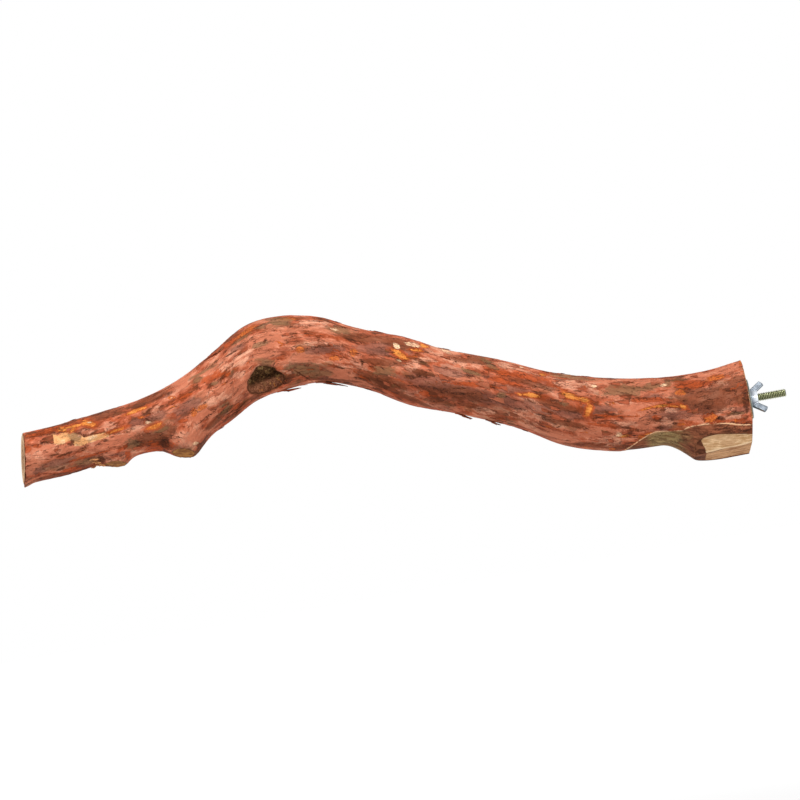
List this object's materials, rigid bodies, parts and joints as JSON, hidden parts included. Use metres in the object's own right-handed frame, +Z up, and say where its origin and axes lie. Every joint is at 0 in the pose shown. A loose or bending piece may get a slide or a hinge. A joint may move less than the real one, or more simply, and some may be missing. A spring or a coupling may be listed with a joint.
{
  "type": "bird perch",
  "caption": "Natural arched branch perch with bark, fixed to a cage at one end by a hanger bolt, two wide washers and a wing nut that screws off.",
  "frame": {"origin": "on the bolt's axis, on the clamping face between the two washers, where the cage wires sit", "axes": "+X along the bolt, away from the branch and into the cage wall; +Z up; -Y the front, as pictured"},
  "size_m": [0.5795, 0.0712, 0.1654],
  "materials": {
    "bare_wood": "dry sawn and split wood, matte",
    "bark": "flaky red-brown bark, matte",
    "loose_bark": "thin curled outer bark, matte",
    "yellow_zinc": "yellow zinc plated thread",
    "washer_zinc": "bright zinc plated sheet",
    "nut_zinc": "bright zinc plated casting"
  },
  "bodies": {
    "perch": {"wood_core": "bare_wood", "bark": "bark", "bark_strips": "loose_bark", "hanger_bolt": "yellow_zinc", "inner_washer": "washer_zinc"},
    "outer_washer": {"outer_washer": "washer_zinc"},
    "wing_nut": {"wing_nut": "nut_zinc"}
  },
  "joints": [
    {"name": "nut_travel", "type": "slide", "parent": "perch", "child": "outer_washer", "axis": [1, 0, 0], "range_m": [0, 0.0293]},
    {"name": "nut_turn", "type": "hinge", "parent": "outer_washer", "child": "wing_nut", "pos_m": [0.004, 0, 0], "axis": [1, 0, 0], "range_deg": [0, 8280]}
  ],
  "couplings": [
    {"joint": "nut_travel", "follows": "nut_turn", "m_per_rad": 0.00020213}
  ]
}
